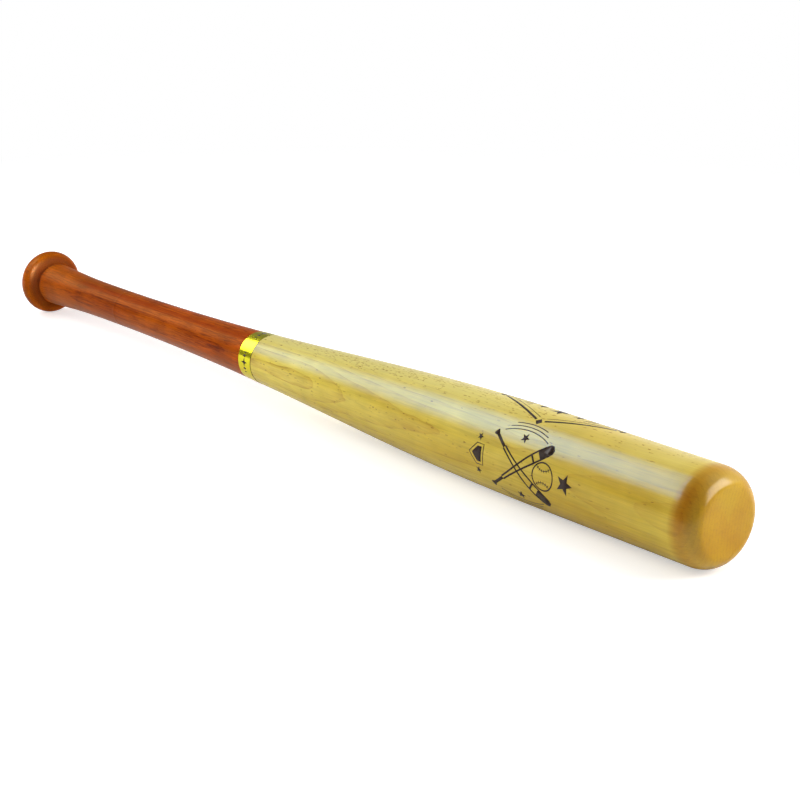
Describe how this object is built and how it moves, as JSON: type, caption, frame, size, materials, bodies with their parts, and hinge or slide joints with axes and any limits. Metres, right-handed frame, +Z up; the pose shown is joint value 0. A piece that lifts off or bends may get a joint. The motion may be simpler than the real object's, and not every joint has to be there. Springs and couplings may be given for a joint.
{
  "type": "wooden baseball bat",
  "caption": "Turned wooden baseball bat with a knob, a stained handle, a gold band at the taper and a natural barrel with a flat end.",
  "frame": {"origin": "centre of the bounding box at the ground on which the bat lies", "axes": "+X from the knob to the barrel, level; +Z up from the ground; the bat's own axis rises by 0.39 degrees towards the barrel, because the bat lies on its knob and its wider barrel"},
  "size_m": [0.7402, 0.0578, 0.0587],
  "materials": {
    "natural_wood": "pale straw hardwood with fine pores under clear gloss lacquer",
    "stained_wood": "red-brown stain under clear gloss lacquer, from the knob to the band",
    "gold_foil": "bright gold foil, glossy, under clear lacquer",
    "print_ink": "thin dark brown printing ink under clear lacquer"
  },
  "bodies": {
    "root": {"billet": "natural_wood", "gold_band": "gold_foil"}
  },
  "joints": []
}
